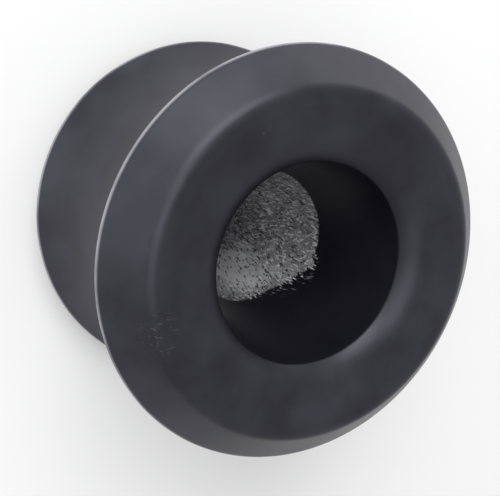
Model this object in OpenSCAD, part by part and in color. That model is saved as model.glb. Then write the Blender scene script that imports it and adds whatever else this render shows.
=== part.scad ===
// Double-flared tunnel plug for a stretched ear lobe, turned in one piece.
// Millimetres. The plug stands on the crest of its back end, with +Z along its
// axis towards the front end and the origin on the axis, at the base.

/* [Flares] */
// Diameter of each flare at the corner of its rim, before that is rounded
flare_d = 16; // [15.4:0.1:17]
// Distance along the axis from rim to rim
rim_gap = 9.8; // [9.4:0.1:12]
// Diameter at the bottom of the saddle, which is the gauge of the plug
waist_d = 12; // [11:0.1:13]
// Rounding of the rim's edge
rim_round = 0.1; // [0.05:0.01:0.2]

/* [End faces] */
// How far the crest of each end stands out past the plane of its rim
crest_rise = 1.45; // [1.3:0.05:1.6]
// Slope of the bevel from the rim up to the crest, in degrees
bevel_slope = 44; // [42:1:47]
// Width of the flat that polishing leaves on the crest
crest_land = 0.25; // [0.15:0.05:0.4]
// Rounding on both sides of that flat
crest_round = 0.7; // [0.4:0.1:0.9]
// Slope of the dish from the crest down towards the bore, in degrees
dish_slope = 11; // [10:1:13]

/* [Mouth and bore] */
// Diameter of the front mouth, at the edge where the lip ends
mouth_d = 7.7; // [7.2:0.1:8]
// Depth of that edge below the front crest
mouth_drop = 0.75; // [0.7:0.05:0.8]
// Width of the lip, from the corner of the dish to the mouth
lip_w = 0.5; // [0.48:0.01:0.6]
// Radius of the roll that turns the dish into the lip
lip_round = 1.9; // [1:0.1:2]
// Rounding of the mouth's edge
mouth_round = 0.22; // [0.1:0.02:0.3]
// Diameter of the throat, where the smooth mouth ends and the raw bore begins
throat_d = 5.9; // [5.4:0.1:6.2]
// Depth of the throat below the front crest
throat_depth = 5.2; // [4.6:0.1:6]
// Diameter of the straight end of the bore, at the back
bore_d = 3.6; // [3:0.1:4]
// Length of that straight end up to the corner of the back dish
bore_length = 1.9; // [1.6:0.1:3]
// Rounding where the raw taper turns into the straight end
taper_round = 3; // [1:0.5:5]
// Rounding of the bore's back edge
back_round = 0.25; // [0.1:0.05:0.4]

/* [Hidden] */

arc_step = 0.15;    // longest step along a rounded corner
arc_turn = 20;      // most degrees that one such step turns through
saddle_steps = 30;  // steps in the arc of the saddle

height = rim_gap + 2 * crest_rise;
rim_r = flare_d / 2;
mouth_r = mouth_d / 2;
bore_r = bore_d / 2;

// Length of side that a rounding of radius r takes from a corner
function tangent_length(r, turn) = r * tan(turn / 2);

// The crest is a flat between two roundings, so it has a corner on either side
crest_outer = rim_r - crest_rise / tan(bevel_slope);
crest_inner = crest_outer - crest_land
    - tangent_length(crest_round, bevel_slope)
    - tangent_length(crest_round, dish_slope);

// Depth of the dish below the crest at a radius
function dish_drop(r) = (crest_inner - r) * tan(dish_slope);
lip_r = mouth_r + lip_w;

// The saddle is one arc through both rims and the waist
saddle_sag = rim_r - waist_d / 2;
saddle_r = (pow(rim_gap / 2, 2) + pow(saddle_sag, 2)) / (2 * saddle_sag);
saddle_half = asin(rim_gap / 2 / saddle_r);
saddle = [for (i = [1:saddle_steps - 1])
    let (turned = saddle_half * (2 * i / saddle_steps - 1))
    [waist_d / 2 + saddle_r * (1 - cos(turned)),
     height / 2 + saddle_r * sin(turned)]];

// Corners of the half section as [radius, height, rounding], from the front
// rim over the front end, down the bore and out along the back end
front_corners = [
    [rim_r, height - crest_rise, rim_round],
    [crest_outer, height, crest_round],
    [crest_inner, height, crest_round],
    [lip_r, height - dish_drop(lip_r), lip_round],
    [mouth_r, height - mouth_drop, mouth_round],
    [throat_d / 2, height - throat_depth, 0],
];
back_corners = [
    [bore_r, dish_drop(bore_r) + bore_length, taper_round],
    [bore_r, dish_drop(bore_r), back_round],
    [crest_inner, 0, crest_round],
    [crest_outer, 0, crest_round],
    [rim_r, crest_rise, rim_round],
];
saddle_corners = [for (p = saddle) [p[0], p[1], 0]];

function unit(v) = v / norm(v);

// Points of the arc that rounds one corner between its two neighbours
function corner_arc(before, corner, after) =
    let (
        tip = [corner[0], corner[1]],
        to_before = unit([before[0], before[1]] - tip),
        to_after = unit([after[0], after[1]] - tip),
        turn = 180 - acos(to_before * to_after),
        centre = tip + unit(to_before + to_after) * corner[2] / cos(turn / 2),
        first = tip + to_before * tangent_length(corner[2], turn) - centre,
        side = sign(to_before[1] * to_after[0] - to_before[0] * to_after[1]),
        start = atan2(first[1], first[0]),
        length = corner[2] * turn * PI / 180,
        steps = ceil(max(length / arc_step, turn / arc_turn))
    )
    [for (i = [0:steps])
        let (angle = start + side * turn * i / steps)
        centre + corner[2] * [cos(angle), sin(angle)]];

// A closed outline with each of its corners rounded as it asks
function rounded(corners) =
    let (last = len(corners) - 1)
    [for (i = [0:last])
        let (
            before = corners[i == 0 ? last : i - 1],
            after = corners[i == last ? 0 : i + 1]
        )
        each corners[i][2] == 0
            ? [[corners[i][0], corners[i][1]]]
            : corner_arc(before, corners[i], after)];

// The plug: one section turned about the axis, with the bore left open
module plug_body() {
    color([0.16, 0.16, 0.19])
        rotate_extrude($fn = 96)
            polygon(rounded(concat(front_corners, back_corners, saddle_corners)));
}

plug_body();
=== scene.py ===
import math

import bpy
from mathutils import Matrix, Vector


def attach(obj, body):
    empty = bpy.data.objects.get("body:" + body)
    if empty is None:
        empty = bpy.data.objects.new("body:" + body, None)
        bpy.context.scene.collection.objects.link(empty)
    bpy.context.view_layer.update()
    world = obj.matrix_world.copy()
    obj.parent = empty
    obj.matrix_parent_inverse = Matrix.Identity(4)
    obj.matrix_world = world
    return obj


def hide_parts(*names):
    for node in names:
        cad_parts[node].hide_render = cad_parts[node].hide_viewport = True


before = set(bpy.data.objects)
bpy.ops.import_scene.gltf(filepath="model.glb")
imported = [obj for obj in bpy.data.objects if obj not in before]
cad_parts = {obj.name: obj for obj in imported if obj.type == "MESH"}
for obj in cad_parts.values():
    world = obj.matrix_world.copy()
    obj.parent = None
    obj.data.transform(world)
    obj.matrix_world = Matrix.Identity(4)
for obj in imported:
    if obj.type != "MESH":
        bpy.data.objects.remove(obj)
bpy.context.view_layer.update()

# %% [markdown]
# A double-flared tunnel is a small spool worn in a stretched ear lobe. A maker
# turns it on a lathe from one piece of black horn: two sharp flares hold it in
# the lobe, and the saddle between them is where the lobe sits.
#
# The order here suits any turned piece: the half section, the turning, the
# stretch of bore that was left raw, the finish, and then the studio. Blender
# works in metres. A plug is measured in millimetres, so sizes are written in
# millimetres and multiplied by MM where Blender takes them.

MM = 0.001


def nothing_selected():
    """Leaves edit mode and deselects everything, so that a tool acts on one piece only."""
    if bpy.context.mode != "OBJECT":
        bpy.ops.object.mode_set(mode="OBJECT")
    bpy.ops.object.select_all(action="DESELECT")


# %% [markdown]
# The half section is what the lathe tool follows. Its corners are few, and each
# one has its own rounding: hardly any on the rims, a soft one on the crests and
# a wide one where the dish rolls over into the mouth.
#
# It could be drawn as a Bezier curve, but corners with roundings keep every
# size a number that can be read and changed.

# %% Sizes of the half section
RIM_R, RIM_GAP, RIM_ROUND = 8.0, 9.8, 0.112
WAIST_R = 6.0
CREST_RISE, CREST_LAND, CREST_ROUND = 1.45, 0.25, 0.7
BEVEL_SLOPE, DISH_SLOPE = math.radians(44), math.radians(11)
MOUTH_R, MOUTH_DROP, MOUTH_ROUND = 3.85, 0.75, 0.22
LIP_WIDTH, LIP_ROUND = 0.5, 1.9
THROAT_R, THROAT_DEPTH = 2.95, 5.2
BORE_R, BORE_LENGTH, TAPER_ROUND, BACK_ROUND = 1.8, 1.9, 3.0, 0.25

HEIGHT = RIM_GAP + 2 * CREST_RISE
CREST_OUTER = RIM_R - CREST_RISE / math.tan(BEVEL_SLOPE)
CREST_INNER = CREST_OUTER - CREST_LAND - CREST_ROUND * (
    math.tan(BEVEL_SLOPE / 2) + math.tan(DISH_SLOPE / 2))


def dish_drop(radius):
    """How far the dish lies below the crest at a radius."""
    return (CREST_INNER - radius) * math.tan(DISH_SLOPE)


LIP_R = MOUTH_R + LIP_WIDTH
# radius, height and rounding of each corner, from the front rim to the back rim
CORNERS = [
    (RIM_R, HEIGHT - CREST_RISE, RIM_ROUND),
    (CREST_OUTER, HEIGHT, CREST_ROUND),
    (CREST_INNER, HEIGHT, CREST_ROUND),
    (LIP_R, HEIGHT - dish_drop(LIP_R), LIP_ROUND),
    (MOUTH_R, HEIGHT - MOUTH_DROP, MOUTH_ROUND),
    (THROAT_R, HEIGHT - THROAT_DEPTH, 0),
    (BORE_R, dish_drop(BORE_R) + BORE_LENGTH, TAPER_ROUND),
    (BORE_R, dish_drop(BORE_R), BACK_ROUND),
    (CREST_INNER, 0, CREST_ROUND),
    (CREST_OUTER, 0, CREST_ROUND),
    (RIM_R, CREST_RISE, RIM_ROUND),
]
print("height", HEIGHT, "mm, crest between radius", round(CREST_INNER, 3), "and", round(CREST_OUTER, 3))

# %% [markdown]
# The saddle is where the lobe sits. A spline could be drawn through it, but an
# arc is what a lathe tool swung from one point would leave, and three known
# places on it, both rims and the waist, give its radius.

# %% The arc of the saddle
SADDLE_STEPS = 44


def saddle_arc():
    """The points between the rims, from the back rim to the front rim."""
    sag = RIM_R - WAIST_R
    radius = ((RIM_GAP / 2) ** 2 + sag ** 2) / (2 * sag)
    half = math.asin(RIM_GAP / 2 / radius)
    turns = [half * (2 * i / SADDLE_STEPS - 1) for i in range(1, SADDLE_STEPS)]
    return [(WAIST_R + radius * (1 - math.cos(turn)), HEIGHT / 2 + radius * math.sin(turn), 0)
            for turn in turns]


saddle = saddle_arc()
print("saddle:", len(saddle), "points between the rims")

# %% [markdown]
# Each rounding is an arc that touches both sides of its corner. With radius r
# it takes r times the tangent of half the turn from each side. A Bevel modifier
# could round the turned mesh instead, but there a corner gets its own width only
# through a weight, and here every radius is wanted in millimetres.

# %% The outline, with its corners rounded
SMALL_ROUND_STEPS, WIDE_ROUND_STEPS = 5, 9


def rounded_corner(before, corner, after, radius, steps):
    """The points of an arc that touches both sides of a corner."""
    tip = Vector(corner)
    to_before = (Vector(before) - tip).normalized()
    to_after = (Vector(after) - tip).normalized()
    turn = math.pi - to_before.angle(to_after)
    centre = tip + (to_before + to_after).normalized() * radius / math.cos(turn / 2)
    first = tip + to_before * radius * math.tan(turn / 2) - centre
    last = tip + to_after * radius * math.tan(turn / 2) - centre
    points = []
    for i in range(steps + 1):
        share = i / steps
        ray = first * math.sin((1 - share) * turn) + last * math.sin(share * turn)
        points.append(centre + ray / math.sin(turn))
    return points


def outline(corners):
    """The closed outline, as points of radius and height in mm."""
    points = []
    for i, (radius, height, rounding) in enumerate(corners):
        before, after = corners[i - 1][:2], corners[(i + 1) % len(corners)][:2]
        if rounding:
            steps = SMALL_ROUND_STEPS if rounding < MOUTH_ROUND else WIDE_ROUND_STEPS
            points += rounded_corner(before, (radius, height), after, rounding, steps)
        else:
            points.append(Vector((radius, height)))
    return points


rounded = outline(CORNERS + saddle)
print(len(rounded), "points before the long sides are divided")

# %% [markdown]
# Straight sides need rows of points as well, because the relief of the raw bore
# and the numbers that are painted on the points change along them. A Subdivision
# Surface modifier could add them, but only everywhere at once. Here the rows lie
# closest in the raw bore, which has the finest relief.

# %% Rows along the straight sides
ROW = 0.16
RAW_ROW = 0.075
A_HAIR = 0.01


def in_bore(point):
    return point.x < THROAT_R + A_HAIR and point.y > dish_drop(BORE_R)


def divided(points):
    """The outline again, with more points wherever two of them lie too far apart."""
    rows = []
    for here, there in zip(points, points[1:] + points[:1]):
        longest = RAW_ROW if in_bore(here) and in_bore(there) else ROW
        cuts = max(1, round((there - here).length / longest))
        rows += [here.lerp(there, k / cuts) for k in range(cuts)]
    return rows


section = divided(rounded)
print(len(section), "points in the half section")

# %% [markdown]
# Turning is Blender's Spin. A plane is merged to one point, that point is put on
# the rim and extruded from step to step round the outline, and the wire is spun
# round the Z axis. A cylinder with loops cut in it would give the same shape,
# but the lathe's way keeps every row a true circle.

# %% The plug, turned from its half section
AROUND = 288
SAME_POINT = 0.001 * MM


def turned(name, points, around):
    """A solid of revolution from points of radius and height in mm."""
    nothing_selected()
    bpy.ops.mesh.primitive_plane_add(size=MM, location=(0, 0, 0))
    piece = bpy.context.object
    piece.name = piece.data.name = name
    bpy.ops.object.mode_set(mode="EDIT")
    bpy.ops.mesh.select_all(action="SELECT")
    bpy.ops.mesh.merge(type="CENTER")
    here = Vector((points[0].x, 0, points[0].y)) * MM
    bpy.ops.transform.translate(value=here)
    for point in points[1:] + points[:1]:
        there = Vector((point.x, 0, point.y)) * MM
        bpy.ops.mesh.extrude_region_move(TRANSFORM_OT_translate={"value": there - here})
        here = there
    bpy.ops.mesh.select_all(action="SELECT")
    bpy.ops.mesh.remove_doubles(threshold=SAME_POINT)
    bpy.ops.mesh.select_all(action="SELECT")
    bpy.ops.mesh.spin(steps=around, angle=math.tau, center=(0, 0, 0), axis=(0, 0, 1))
    bpy.ops.mesh.select_all(action="SELECT")
    bpy.ops.mesh.remove_doubles(threshold=SAME_POINT)
    bpy.ops.mesh.select_all(action="SELECT")
    bpy.ops.mesh.normals_make_consistent(inside=False)
    bpy.ops.mesh.faces_shade_smooth()
    bpy.ops.object.mode_set(mode="OBJECT")
    return piece


plug = turned("plug", section, AROUND)
print("plug:", len(plug.data.vertices), "points,", 2 * len(plug.data.polygons), "triangles")

# %% [markdown]
# The maker smoothed the mouth but not the bore behind it, so a line runs round
# the inside with pale, scratched horn below it. On one side the smoothing went
# deeper, and at one place the raw horn reaches up in a notch. The line could be
# drawn point by point, but smooth swells round the axis need only three numbers
# each: how much, at what angle and how wide.

# %% Where the raw bore begins
RAW_LINE = 7.43
DEEPER, DEEPER_AT, DEEPER_WIDTH = 0.76, math.radians(44), math.radians(34)
NOTCH, NOTCH_AT, NOTCH_WIDTH = 0.28, math.radians(90), math.radians(8)


def swell(angle, middle, width):
    """A smooth bump that is 1 in the middle."""
    away = (angle - middle + math.pi) % math.tau - math.pi
    return math.exp(-(away / width) ** 2)


def raw_line(angle):
    """The height at which the raw bore begins."""
    return (RAW_LINE - DEEPER * swell(angle, DEEPER_AT, DEEPER_WIDTH)
            + NOTCH * swell(angle, NOTCH_AT, NOTCH_WIDTH))


line_heights = [raw_line(math.tau * i / AROUND) for i in range(AROUND)]
print("raw bore begins at", round(min(line_heights), 2), "to", round(max(line_heights), 2), "mm")

# %% [markdown]
# The raw horn could be a second material that begins at an edge of the mesh, but
# then its line would be clean and even. Numbers painted on the points leave it
# to one material to draw the line. Three are painted: the depth below the line in
# mm, how strong the tool's faint marks are, and a painted pool of light on the
# raw wall, low on one side, where light falling in through the mouth strikes it.

# %% Numbers painted on the points
FAINT, FAINT_AT, FAINT_WIDTH = 1.0, math.radians(66), math.radians(40)
# painted light: the angle, width, height and reach of a pool of light painted on the raw wall
LIGHT_POOL_AT, LIGHT_POOL_WIDTH, LIGHT_POOL_HEIGHT, LIGHT_POOL_REACH = math.radians(34), math.radians(32), 4.0, 1.9
# a little to spare, so that no point of the wall is left out
WALL_SPARE, MOUTH_SPARE = 0.05, 0.1
# the depth that is painted on everything outside the hollow
FAR_ABOVE = -9.0


def on_the_wall(place):
    """Whether a place is inside the hollow, between the mouth and the back edge."""
    inside = math.hypot(place.x, place.y) / MM < MOUTH_R + WALL_SPARE
    return inside and dish_drop(BORE_R) < place.z / MM < HEIGHT - MOUTH_DROP + MOUTH_SPARE


def painted_light_pool(angle, height):
    """1 in the middle of the painted pool of light on the raw wall, where light falling in through the
    mouth is brightest.
    """
    return swell(angle, LIGHT_POOL_AT, LIGHT_POOL_WIDTH) * math.exp(-((height - LIGHT_POOL_HEIGHT) / LIGHT_POOL_REACH) ** 2)


PAINTED = ("raw_depth", "faint_marks", "painted_light")
for name in PAINTED:
    plug.data.attributes.new(name, "FLOAT", "POINT")
# the layers are fetched after all are made, because adding one moves the others
depth_layer, faint_layer, painted_light_layer = (plug.data.attributes[name].data for name in PAINTED)
for point in plug.data.vertices:
    angle = math.atan2(point.co.y, point.co.x)
    below_line = raw_line(angle) - point.co.z / MM
    depth_layer[point.index].value = below_line if on_the_wall(point.co) else FAR_ABOVE
    faint_layer[point.index].value = FAINT * swell(angle, FAINT_AT, FAINT_WIDTH)
    painted_light_layer[point.index].value = painted_light_pool(angle, point.co.z / MM)
raw_points = [point for point in plug.data.vertices if depth_layer[point.index].value > 0]
print(len(raw_points), "points in the raw bore")

# %% [markdown]
# Raw horn isn't flat: it tears in little flakes. Sculpting could make them by
# hand. Here a Displace modifier with a cloud texture moves the points of the raw
# bore by a few hundredths of a millimetre, which is the same each time, and a
# vertex group fades it out at the line and at the back edge.

# %% Relief of the raw bore
RELIEF, FADE_IN = 0.07, 0.35
FLAKE_SIZE, FLAKE_DETAIL = 0.35, 3


def relief_weight(point):
    """How much of the relief a point of the raw bore takes, from 0 to 1."""
    above_back = point.co.z / MM - dish_drop(BORE_R) - BACK_ROUND
    weight = min(depth_layer[point.index].value, above_back) / FADE_IN
    return max(0.0, min(1.0, weight))


# all weights are worked out before the group is made, because that moves the layers
relief_weights = {point.index: relief_weight(point) for point in raw_points}
raw_bore = plug.vertex_groups.new(name="raw_bore")
for index, weight in relief_weights.items():
    raw_bore.add([index], weight, "REPLACE")

flakes = bpy.data.textures.new("raw_flakes", "CLOUDS")
flakes.noise_scale = FLAKE_SIZE * MM
flakes.noise_depth = FLAKE_DETAIL
nothing_selected()
plug.select_set(True)
bpy.context.view_layer.objects.active = plug
displace = plug.modifiers.new("raw relief", "DISPLACE")
displace.texture = flakes
displace.texture_coords = "LOCAL"
displace.vertex_group = raw_bore.name
displace.strength = RELIEF * MM
displace.mid_level = 0.5
bpy.ops.object.modifier_apply(modifier=displace.name)
print(len(relief_weights), "points moved by up to", RELIEF / 2, "mm")

# %% [markdown]
# A material is a network of nodes. In the editor they are dragged in and wired by
# hand. These helpers do both in one line, so that each finish below reads as
# what it does.

# %% Nodes and what they are fed
def add_node(tree, kind, **settings):
    """Puts a shader node in a network, with its settings."""
    made = tree.nodes.new("ShaderNode" + kind)
    for name, value in settings.items():
        setattr(made, name, value)
    return made


def feed(tree, socket, value):
    """Gives a socket a number, a colour or the output of another node."""
    if isinstance(value, bpy.types.NodeSocket):
        tree.links.new(value, socket)
    else:
        socket.default_value = value


def sums(tree, operation, *values):
    """The result of a Math node."""
    made = add_node(tree, "Math", operation=operation)
    for socket, value in zip(made.inputs, values):
        feed(tree, socket, value)
    return made.outputs[0]


print("helpers for nodes: add_node, feed, sums")

# %% [markdown]
# An effect that is used more than once is worth a node group: it is built once,
# with named sockets, and placed with its own values each time. By hand the nodes
# would be selected and grouped, and here the group is made empty and then filled.

# %% An empty node group
def new_group(name, inputs, outputs):
    """An empty node group with its sockets, and its two end nodes."""
    tree = bpy.data.node_groups.new(name, "ShaderNodeTree")
    for label, kind, value in inputs:
        socket = tree.interface.new_socket(label, in_out="INPUT", socket_type="NodeSocket" + kind)
        if value is not None:
            socket.default_value = value
    for label, kind in outputs:
        tree.interface.new_socket(label, in_out="OUTPUT", socket_type="NodeSocket" + kind)
    return tree, tree.nodes.new("NodeGroupInput"), tree.nodes.new("NodeGroupOutput")


print("helper for groups: new_group")

# %% [markdown]
# On a turned piece, marks follow the turning. This group takes a point of the
# object and says where it is on the lathe, in millimetres: its radius and its
# height. It also winds the point round the axis by a chosen twist, so that a
# pattern stretched along the height runs up the wall at a slant.
#
# A UV map could say the same, but it has a seam, and a pattern would break there.

# %% Group: place on the lathe
def lathe_place_group():
    """Twist is in radians for each millimetre of height."""
    tree, given, out = new_group(
        "place on the lathe",
        [("Point", "Vector", None), ("Twist", "Float", 0.0)],
        [("Radius", "Float"), ("Height", "Float"), ("Wound", "Vector")])
    parts = add_node(tree, "SeparateXYZ")
    feed(tree, parts.inputs[0], given.outputs["Point"])
    x, y, z = (sums(tree, "DIVIDE", parts.outputs[i], MM) for i in range(3))
    square = sums(tree, "ADD", sums(tree, "MULTIPLY", x, x), sums(tree, "MULTIPLY", y, y))
    radius = sums(tree, "SQRT", square)
    angle = sums(tree, "ARCTAN2", y, x)
    wound = sums(tree, "MULTIPLY_ADD", z, given.outputs["Twist"], angle)
    place = add_node(tree, "CombineXYZ")
    feed(tree, place.inputs[0], z)
    feed(tree, place.inputs[1], sums(tree, "MULTIPLY", radius, sums(tree, "COSINE", wound)))
    feed(tree, place.inputs[2], sums(tree, "MULTIPLY", radius, sums(tree, "SINE", wound)))
    feed(tree, out.inputs["Radius"], radius)
    feed(tree, out.inputs["Height"], z)
    feed(tree, out.inputs["Wound"], place.outputs[0])
    return tree


LATHE_PLACE = lathe_place_group()
print("group:", LATHE_PLACE.name)

# %% [markdown]
# Two nodes do most of the work in these finishes. Noise gives cloudy unevenness,
# and a Map Range node turns any value into a soft mask. A Colour Ramp could make
# the mask too, but Map Range takes its limits from other nodes as well.

# %% Clouds and fades
def clouds(tree, place, scale, detail=2.0, roughness=0.5):
    """Noise with about one cloud to each 1 / scale of the place."""
    made = add_node(tree, "TexNoise")
    for name, value in (("Vector", place), ("Scale", scale), ("Detail", detail), ("Roughness", roughness)):
        feed(tree, made.inputs[name], value)
    return made.outputs[0]


def fade(tree, value, low, high, bottom=0.0, top=1.0):
    """A smooth step from bottom to top as the value goes from low to high."""
    made = add_node(tree, "MapRange", interpolation_type="SMOOTHSTEP")
    for socket, given in zip(made.inputs, (value, low, high, bottom, top)):
        feed(tree, socket, given)
    return made.outputs[0]


print("helpers for nodes: clouds, fade")

# %% [markdown]
# A scratch is a thin, short line. Noise that is stretched one way has streaks,
# and a steep step keeps only the highest of them. Wave or Voronoi textures make
# lines too, but theirs are too regular for scratches.
#
# The place comes in as millimetres with its first number along the scratch, so
# the same group makes tool marks in the bore and scuffs on the face.

# %% Group: scratches
def scratches_group():
    """Length and Width are in mm, and Share is how much of the noise's range is kept."""
    tree, given, out = new_group(
        "scratches",
        [("Place", "Vector", None), ("Length", "Float", 1.0), ("Width", "Float", 0.1),
         ("Share", "Float", 0.4), ("Softness", "Float", 0.05)],
        [("Mask", "Float")])
    parts = add_node(tree, "SeparateXYZ")
    feed(tree, parts.inputs[0], given.outputs["Place"])
    stretched = add_node(tree, "CombineXYZ")
    for i, size in enumerate(("Length", "Width", "Width")):
        feed(tree, stretched.inputs[i], sums(tree, "DIVIDE", parts.outputs[i], given.outputs[size]))
    streaks = clouds(tree, stretched.outputs[0], scale=1.0, detail=1.0)
    low = sums(tree, "SUBTRACT", 1.0, given.outputs["Share"])
    high = sums(tree, "ADD", low, given.outputs["Softness"])
    feed(tree, out.inputs["Mask"], fade(tree, streaks, low, high))
    return tree


SCRATCHES = scratches_group()
print("group:", SCRATCHES.name)

# %% [markdown]
# Satin horn is even from far off and uneven close up. Three things make it so:
# broad cloudy patches, a fine tooth that breaks up the shine, and hair-thin
# rings left by the last cut on the lathe. The rings are noise that reads only
# the radius and the height, so it can't change on the way round.

# %% Group: satin
def place_group(tree, group_tree, **values):
    """Puts a group in a network and feeds the inputs that are named."""
    made = add_node(tree, "Group", node_tree=group_tree)
    for name, value in values.items():
        feed(tree, made.inputs[name], value)
    return made


def satin_group():
    """Patch, Tooth and Ring are sizes in mm."""
    tree, given, out = new_group(
        "satin",
        [("Point", "Vector", None), ("Patch", "Float", 2.2), ("Tooth", "Float", 0.06),
         ("Ring", "Float", 0.09)],
        [("Patches", "Float"), ("Tooth", "Float"), ("Rings", "Float")])
    place = place_group(tree, LATHE_PLACE, Point=given.outputs["Point"])
    flat = add_node(tree, "VectorMath", operation="SCALE")
    feed(tree, flat.inputs[0], given.outputs["Point"])
    feed(tree, flat.inputs["Scale"], 1 / MM)
    patches = clouds(tree, flat.outputs[0], sums(tree, "DIVIDE", 1.0, given.outputs["Patch"]), detail=3.0)
    tooth = clouds(tree, flat.outputs[0], sums(tree, "DIVIDE", 1.0, given.outputs["Tooth"]))
    ring_place = add_node(tree, "CombineXYZ")
    feed(tree, ring_place.inputs[0], sums(tree, "DIVIDE", place.outputs["Radius"], given.outputs["Ring"]))
    feed(tree, ring_place.inputs[1], sums(tree, "DIVIDE", place.outputs["Height"], given.outputs["Ring"]))
    rings = clouds(tree, ring_place.outputs[0], scale=1.0, detail=1.0)
    for name, value in (("Patches", patches), ("Tooth", tooth), ("Rings", rings)):
        feed(tree, out.inputs[name], value)
    return tree


SATIN = satin_group()
print("group:", SATIN.name)

# %% [markdown]
# Dust and tiny chips are single dots. A Voronoi texture drops one random point
# in each cell: close to that point it is a dot, and a second random number
# keeps only some of the cells. Real chips could be cut into the mesh, but dots
# this small need no shape of their own.

# %% Group: specks
DOT_CORE = 0.5


def specks_group():
    """Apart and Size are in mm, and Share is how many of the cells keep their dot."""
    tree, given, out = new_group(
        "specks",
        [("Point", "Vector", None), ("Apart", "Float", 0.6), ("Size", "Float", 0.05),
         ("Share", "Float", 0.2)],
        [("Mask", "Float")])
    spots = add_node(tree, "TexVoronoi", feature="F1")
    feed(tree, spots.inputs["Vector"], given.outputs["Point"])
    feed(tree, spots.inputs["Scale"], sums(tree, "DIVIDE", 1 / MM, given.outputs["Apart"]))
    reach = sums(tree, "DIVIDE", given.outputs["Size"], given.outputs["Apart"])
    core = sums(tree, "MULTIPLY", reach, DOT_CORE)
    dot = fade(tree, spots.outputs["Distance"], core, reach, bottom=1.0, top=0.0)
    chance = add_node(tree, "SeparateColor")
    feed(tree, chance.inputs[0], spots.outputs["Color"])
    kept = sums(tree, "LESS_THAN", chance.outputs[0], given.outputs["Share"])
    feed(tree, out.inputs["Mask"], sums(tree, "MULTIPLY", dot, kept))
    return tree


SPECKS = specks_group()
print("group:", SPECKS.name)

# %% [markdown]
# The finish of the plug is one material, because both looks are the same horn.
# Satin horn is nearly black, and what shows is its soft shine. Raw horn is torn
# and full of air, so it scatters light and looks grey. Two materials would meet
# at the edges of faces, so the number painted on the points decides instead which
# look shows, and tool marks make its line ragged.

# %% Material: black horn
horn = bpy.data.materials.new("black_horn")
horn.use_nodes = True
tree = horn.node_tree
shader = tree.nodes["Principled BSDF"]
on_plug = add_node(tree, "TexCoord").outputs["Object"]
where = place_group(tree, LATHE_PLACE, Point=on_plug)
satin = place_group(tree, SATIN, Point=on_plug)
depth, faint, painted_light = (
    add_node(tree, "Attribute", attribute_name=name).outputs["Fac"] for name in PAINTED)
print("material:", horn.name, "reads", ", ".join(PAINTED))

# %% [markdown]
# Most tool marks in the raw bore run straight up the wall and some lean or cross
# them. One set of scratches can only run one way, so the group is placed four
# times, each with its own twist. Three sets are pale, and the fourth is where
# the tool dug in.

# %% Tool marks of the raw bore
# twist in radians for each mm of height, length and width in mm, and share
TOOL_MARKS = {
    "straight": (0.0, 0.75, 0.100, 0.41),
    "crossing": (0.45, 0.35, 0.080, 0.375),
    "leaning": (-0.15, 0.60, 0.085, 0.385),
    "gouges": (0.06, 0.55, 0.105, 0.40),
}


def tool_marks(twist, length, width, share):
    wound = place_group(tree, LATHE_PLACE, Point=on_plug, Twist=twist).outputs["Wound"]
    made = place_group(tree, SCRATCHES, Place=wound, Length=length, Width=width, Share=share)
    return made.outputs["Mask"]


straight, crossing, leaning, gouges = (tool_marks(*sizes) for sizes in TOOL_MARKS.values())
marks = sums(tree, "MAXIMUM", sums(tree, "MAXIMUM", straight, crossing), leaning)
print("sets of tool marks:", ", ".join(TOOL_MARKS))

# %% [markdown]
# Where a mark crosses the line, it carries raw horn up with it, and a gouge keeps
# the smooth horn down. So both are added to the painted depth, on the side where
# the faint marks are, and the fine tooth is added all round. A short fade turns
# the sum into a mask. On the side with the faint marks, single ones also reach
# above the line and fade with height.

# %% The ragged line
CROWDED = (0.15, 0.8)
MARK_LIFT, GOUGE_DROP = 0.30, -0.45
TOOTH_SHIFT = 0.22
LINE_FADE, STRIP_FADE = (-0.04, 0.08), (0.0, 0.5)

crowd = fade(tree, faint, *CROWDED)
lifted = sums(tree, "MULTIPLY_ADD", sums(tree, "MULTIPLY", straight, crowd), MARK_LIFT, depth)
ragged = sums(tree, "MULTIPLY_ADD", sums(tree, "MULTIPLY", gouges, crowd), GOUGE_DROP, lifted)
tooth_shift = sums(tree, "MULTIPLY_ADD", satin.outputs["Tooth"], TOOTH_SHIFT, -TOOTH_SHIFT / 2)
raw = fade(tree, sums(tree, "ADD", ragged, tooth_shift), *LINE_FADE)
in_strip = fade(tree, sums(tree, "ADD", depth, faint), *STRIP_FADE)
strip = sums(tree, "MULTIPLY", sums(tree, "MULTIPLY", in_strip, leaning), crowd)
print("the line fades over", round(LINE_FADE[1] - LINE_FADE[0], 3), "mm")

# %% [markdown]
# The tone of raw horn comes from broad patches. Toward one side they are lifted
# by painted light: a pool of light where light falling in through the mouth strikes
# the wall. The marks are added on top, and gouges and small pits darken it. Each
# of these could have a colour of its own. Here they are worked out as one number
# first, and that number blends two colours, so the horn keeps one hue.

# %% Colour of the raw bore
RAW_DARK, RAW_PALE = (0.035, 0.035, 0.042, 1), (0.80, 0.80, 0.83, 1)
RAW_PATCH, RAW_PATCH_DETAIL, RAW_PATCH_ROUGHNESS = 0.9, 4.0, 0.6
RAW_PATCH_FADE, RAW_PATCH_TONES = (0.25, 0.75), (0.3, 0.7)
# the second of these is painted light: how much the painted pool of light lifts the raw tone
TONE_RAW_BASE, TONE_PAINTED_LIGHT, TONE_MARKS, TONE_DUG = 0.52, 2.4, 0.5, -0.88
PITS = {"Apart": 0.26, "Size": 0.075, "Share": 0.4}


def blend_colours(tree, share, first, second):
    """The first colour where the share is 0, the second where it is 1."""
    made = add_node(tree, "Mix", data_type="RGBA")
    for name, value in (("Factor_Float", share), ("A_Color", first), ("B_Color", second)):
        feed(tree, next(s for s in made.inputs if s.identifier == name), value)
    return next(s for s in made.outputs if s.identifier == "Result_Color")


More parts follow.
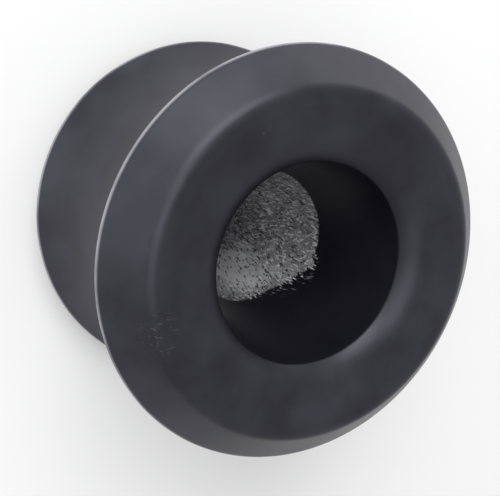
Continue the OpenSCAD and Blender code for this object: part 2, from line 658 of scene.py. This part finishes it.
raw_clouds = clouds(tree, on_plug, 1 / (RAW_PATCH * MM), RAW_PATCH_DETAIL, RAW_PATCH_ROUGHNESS)
raw_patches = fade(tree, raw_clouds, *RAW_PATCH_FADE, *RAW_PATCH_TONES)
# painted light: the raw tone is lifted where the pool of light is painted
tone_with_painted_light = sums(tree, "MULTIPLY_ADD", painted_light, TONE_PAINTED_LIGHT, TONE_RAW_BASE)
pale_tone = sums(tree, "MULTIPLY_ADD", marks, TONE_MARKS, sums(tree, "MULTIPLY", raw_patches, tone_with_painted_light))
pits = place_group(tree, SPECKS, Point=on_plug, **PITS).outputs["Mask"]
dug = sums(tree, "MAXIMUM", pits, gouges)
raw_tone = sums(tree, "MULTIPLY", pale_tone, sums(tree, "MULTIPLY_ADD", dug, TONE_DUG, 1.0))
raw_colour = blend_colours(tree, raw_tone, RAW_DARK, RAW_PALE)
print("raw horn: patches of", RAW_PATCH, "mm and pits of", PITS["Size"], "mm")

# %% [markdown]
# Wear shows where the plug is handled. The rims are the outermost edge, so they
# are rubbed paler, and the same pale colour is a painted highlight: it stands in
# for the thin bright line of light that a rounded rim catches. A node can find
# edges by how the surface bends, but on a turned piece the radius alone says
# where the rims are.

# %% Wear and painted highlight on the rims
RIM_LINE_FROM, RIM_LINE_TO = RIM_R - 0.13, RIM_R - 0.06
RIM_LINE_PATCHY, RIM_LINE_LEAST = (0.3, 0.6), 0.35

rubbed_and_highlit = fade(tree, where.outputs["Radius"], RIM_LINE_FROM, RIM_LINE_TO)
rim_uneven = fade(tree, satin.outputs["Patches"], *RIM_LINE_PATCHY, bottom=RIM_LINE_LEAST)
# part wear, part painted highlight along the rims
rim_wear_and_highlight = sums(tree, "MULTIPLY", rubbed_and_highlit, rim_uneven)
print("rims rubbed from radius", RIM_LINE_FROM, "mm")

# %% [markdown]
# The front face has a patch of faint scuffs on one side, and specks of dust lie
# all over the plug. The patch could be painted on the points too, but the points
# of the face lie wider apart than its scuffs. A Mapping node set to Texture takes
# a place into the patch's own frame: its middle is zero, its turn is the way the
# scuffs run, and its unit is one millimetre. So the distance from zero says where
# the patch ends.

# %% Scuffs and dust
SCUFFS_AT, SCUFFS_REACH, SCUFFS_TURN = Vector((4.35, -4.75, 12.6)), 1.15, math.radians(-62)
SCUFFS_CORE = 0.2
SCUFF_SIZES = {"Length": 0.40, "Width": 0.06, "Share": 0.385}
DUST, DUST_STRENGTH = {"Apart": 1.1, "Size": 0.07, "Share": 0.22}, 0.8

patch_place = add_node(tree, "Mapping", vector_type="TEXTURE")
feed(tree, patch_place.inputs["Vector"], on_plug)
patch_place.inputs["Location"].default_value = SCUFFS_AT * MM
patch_place.inputs["Rotation"].default_value = (0, 0, SCUFFS_TURN)
patch_place.inputs["Scale"].default_value = (MM, MM, MM)
scuff_lines = place_group(tree, SCRATCHES, Place=patch_place.outputs[0], **SCUFF_SIZES)
away = add_node(tree, "VectorMath", operation="LENGTH")
feed(tree, away.inputs[0], patch_place.outputs[0])
core = SCUFFS_REACH * SCUFFS_CORE
patch = fade(tree, away.outputs["Value"], core, SCUFFS_REACH, bottom=1.0, top=0.0)
scuffs = sums(tree, "MULTIPLY", patch, scuff_lines.outputs["Mask"])
dust = place_group(tree, SPECKS, Point=on_plug, **DUST).outputs["Mask"]
marks_on_satin = sums(tree, "MAXIMUM", scuffs, sums(tree, "MULTIPLY", dust, DUST_STRENGTH))
print("scuffs within", SCUFFS_REACH, "mm, a speck of dust in", DUST["Share"], "of the cells")

# %% [markdown]
# The colours are laid over the satin in layers, each with a mask that says where
# it shows. The wall inside the mouth is darkened with painted shade, for the shade
# that falls in the hollow. Then come the scuffs and the dust, the single marks,
# the worn rims with their painted highlight and, over everything, the raw bore
# with its painted pool of light.

# %% Colour, put together
SATIN_DARK, SATIN_PALE = (0.009, 0.009, 0.0125, 1), (0.023, 0.023, 0.031, 1)
# painted shade: the colour of the wall inside the mouth, darker for the shade in the hollow
INSIDE_SHADE = (0.003, 0.003, 0.006, 1)
SCUFFED = (0.045, 0.045, 0.052, 1)
# part wear, part painted highlight: the pale rims also stand in for the bright line of light along them
WORN_AND_HIGHLIGHT = (0.27, 0.26, 0.29, 1)
SATIN_PATCHY = (0.25, 0.75)
INSIDE_SHADE_FADE, INSIDE_SHADE_STRENGTH = (MOUTH_R - 0.1, MOUTH_R + 0.5), 0.85
STRIP_STRENGTH = 0.18

colour = blend_colours(tree, fade(tree, satin.outputs["Patches"], *SATIN_PATCHY), SATIN_DARK, SATIN_PALE)
# painted shade: everything inside the mouth's radius is darkened, fading out over the lip
inside = fade(tree, where.outputs["Radius"], *INSIDE_SHADE_FADE, bottom=INSIDE_SHADE_STRENGTH, top=0.0)
layers = (
    (inside, INSIDE_SHADE),
    (marks_on_satin, SCUFFED),
    (sums(tree, "MULTIPLY", strip, STRIP_STRENGTH), RAW_PALE),
    (rim_wear_and_highlight, WORN_AND_HIGHLIGHT),
    (raw, raw_colour),
)
for share, layer in layers:
    colour = blend_colours(tree, share, colour, layer)
feed(tree, shader.inputs["Base Color"], colour)
print("colours laid over the satin:", len(layers))

# %% [markdown]
# Black satin shows by its shine more than by its colour, so the shine gets as
# much care. The satin is smoother than the raw horn, and a bump from the tooth,
# the rings and the marks breaks it up. Bump only tilts the shading, which is
# enough for relief finer than the mesh. The shine has a slightly blue tint.

# %% Shine and bump
SATIN_ROUGH, SATIN_SWING, RAW_ROUGH = 0.39, 0.16, 0.62
SHINE_TINT = (0.86, 0.86, 1.0, 1)
RING_HEIGHT, TOOTH_HEIGHT, MARK_HEIGHT = 0.5, 0.6, 1.5
BUMP_STRENGTH, BUMP_DEPTH = 0.35, 0.01

satin_rough = sums(
    tree, "MULTIPLY_ADD", satin.outputs["Patches"], SATIN_SWING, SATIN_ROUGH - SATIN_SWING / 2)
feed(tree, shader.inputs["Roughness"], fade(tree, raw, 0.0, 1.0, satin_rough, RAW_ROUGH))
shader.inputs["Specular Tint"].default_value = SHINE_TINT

tooth_height = sums(tree, "MULTIPLY", satin.outputs["Tooth"], TOOTH_HEIGHT)
satin_height = sums(tree, "MULTIPLY_ADD", satin.outputs["Rings"], RING_HEIGHT, tooth_height)
raw_height = sums(tree, "MULTIPLY", sums(tree, "SUBTRACT", marks, dug), MARK_HEIGHT)
bump = add_node(tree, "Bump")
bump.inputs["Strength"].default_value = BUMP_STRENGTH
bump.inputs["Distance"].default_value = BUMP_DEPTH * MM
feed(tree, bump.inputs["Height"], sums(tree, "ADD", satin_height, sums(tree, "MULTIPLY", raw, raw_height)))
feed(tree, shader.inputs["Normal"], bump.outputs[0])
plug.data.materials.append(horn)
print("nodes in the material:", len(tree.nodes))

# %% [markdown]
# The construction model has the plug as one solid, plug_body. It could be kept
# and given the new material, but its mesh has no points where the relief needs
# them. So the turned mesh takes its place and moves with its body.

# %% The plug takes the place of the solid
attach(plug, "root")
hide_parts("plug_body")
print("plug stands for plug_body; CAD nodes in the frame:", len(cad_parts))

# %% [markdown]
# The camera looks down into the front mouth from the side, close, as a product
# camera does. It is placed in millimetres, like the plug. Its turn is written as
# the directions of its own right, up and back, one to a column, which says more
# than three angles would.

# %% Camera
CAMERA_AT = Vector((0.013, -16.175, 35.754))
CAMERA_TURN = Matrix((
    (-0.448, -0.8939, -0.0153),
    (0.7815, -0.3832, -0.4925),
    (0.4343, -0.2326, 0.8702)))
LENS, SENSOR = 56.16, 36
NEAREST = 1

bpy.ops.object.camera_add(location=CAMERA_AT * MM)
camera = bpy.context.object
camera.name = "camera"
camera.rotation_mode = "QUATERNION"
camera.rotation_quaternion = CAMERA_TURN.to_quaternion()
camera.data.lens = LENS
camera.data.sensor_width = SENSOR
camera.data.clip_start = NEAREST * MM
bpy.context.scene.camera = camera
print("camera", round(CAMERA_AT.length, 1), "mm from the foot of the plug, lens", LENS, "mm")

# %% [markdown]
# The floor is a sheet of white card, far wider than the plug, so that its edges
# stay out of the way. A floor can be made to glow so that it looks white. Under
# this light a card of this colour is almost white by itself, and without a glow
# it keeps the soft shadow that shows how the plug stands.

# %% Floor
FLOOR_SIZE = 1200
CARD, CARD_ROUGH = (0.9, 0.9, 0.9, 1), 0.9

nothing_selected()
bpy.ops.mesh.primitive_plane_add(size=FLOOR_SIZE * MM, location=(0, 0, 0))
floor = bpy.context.object
floor.name = "floor"
card = bpy.data.materials.new("white_card")
card.use_nodes = True
paper = card.node_tree.nodes["Principled BSDF"]
paper.inputs["Base Color"].default_value = CARD
paper.inputs["Roughness"].default_value = CARD_ROUGH
floor.data.materials.append(card)
print("floor", FLOOR_SIZE, "mm wide")

# %% [markdown]
# The light comes from round lamps behind frosted discs, all at one distance from
# the plug. Each one is given by where it stands, how far round and how high, and
# by half the angle that it fills as the plug sees it. On a dark, shiny piece a
# lamp is seen as its reflection, so its width matters: a wide one has a soft edge.

# %% Lamps
LAMP_DISTANCE = 280 * MM
LAMP_AIM = Vector((0, 0, 6 * MM))
# degrees round, degrees high, half the angle in degrees, and watts
LAMPS = {
    "left": (170, 8, 18, 0.121),
    "left_near": (200, 8, 18, 0.050),
    "right_low": (290, 8, 18, 0.102),
    "key": (225, 38, 20, 0.478),
    "front": (260, 38, 20, 0.104),
    "front_high": (260, 68, 12, 0.058),
    "right_high": (300, 66, 18, 0.112),
}


def soft_lamp(name, around, high, half_angle, watts):
    """A round area lamp that faces the plug."""
    around, high, half_angle = (math.radians(a) for a in (around, high, half_angle))
    out = Vector((math.cos(around) * math.cos(high), math.sin(around) * math.cos(high), math.sin(high)))
    bpy.ops.object.light_add(type="AREA", location=LAMP_AIM + out * LAMP_DISTANCE)
    lamp = bpy.context.object
    lamp.name = lamp.data.name = name
    lamp.data.shape = "DISK"
    lamp.data.size = 2 * LAMP_DISTANCE * math.tan(half_angle)
    lamp.data.energy = watts
    lamp.rotation_mode = "QUATERNION"
    lamp.rotation_quaternion = out.to_track_quat("Z", "Y")


for name, values in LAMPS.items():
    soft_lamp(name, *values)
print(len(LAMPS), "lamps,", round(sum(values[-1] for values in LAMPS.values()), 3), "W in all")

# %% [markdown]
# The world is the rest of the room: an even, soft white from everywhere. More
# lamps could fill the shadows too, but each would show as one more reflection.

# %% World and view
ROOM, ROOM_STRENGTH = (1, 1, 1, 1), 0.5

world = bpy.data.worlds.new("studio")
bpy.context.scene.world = world
world.use_nodes = True
room = world.node_tree.nodes["Background"]
room.inputs["Color"].default_value = ROOM
room.inputs["Strength"].default_value = ROOM_STRENGTH
bpy.context.scene.view_settings.view_transform = "Standard"
print("room light at", ROOM_STRENGTH)
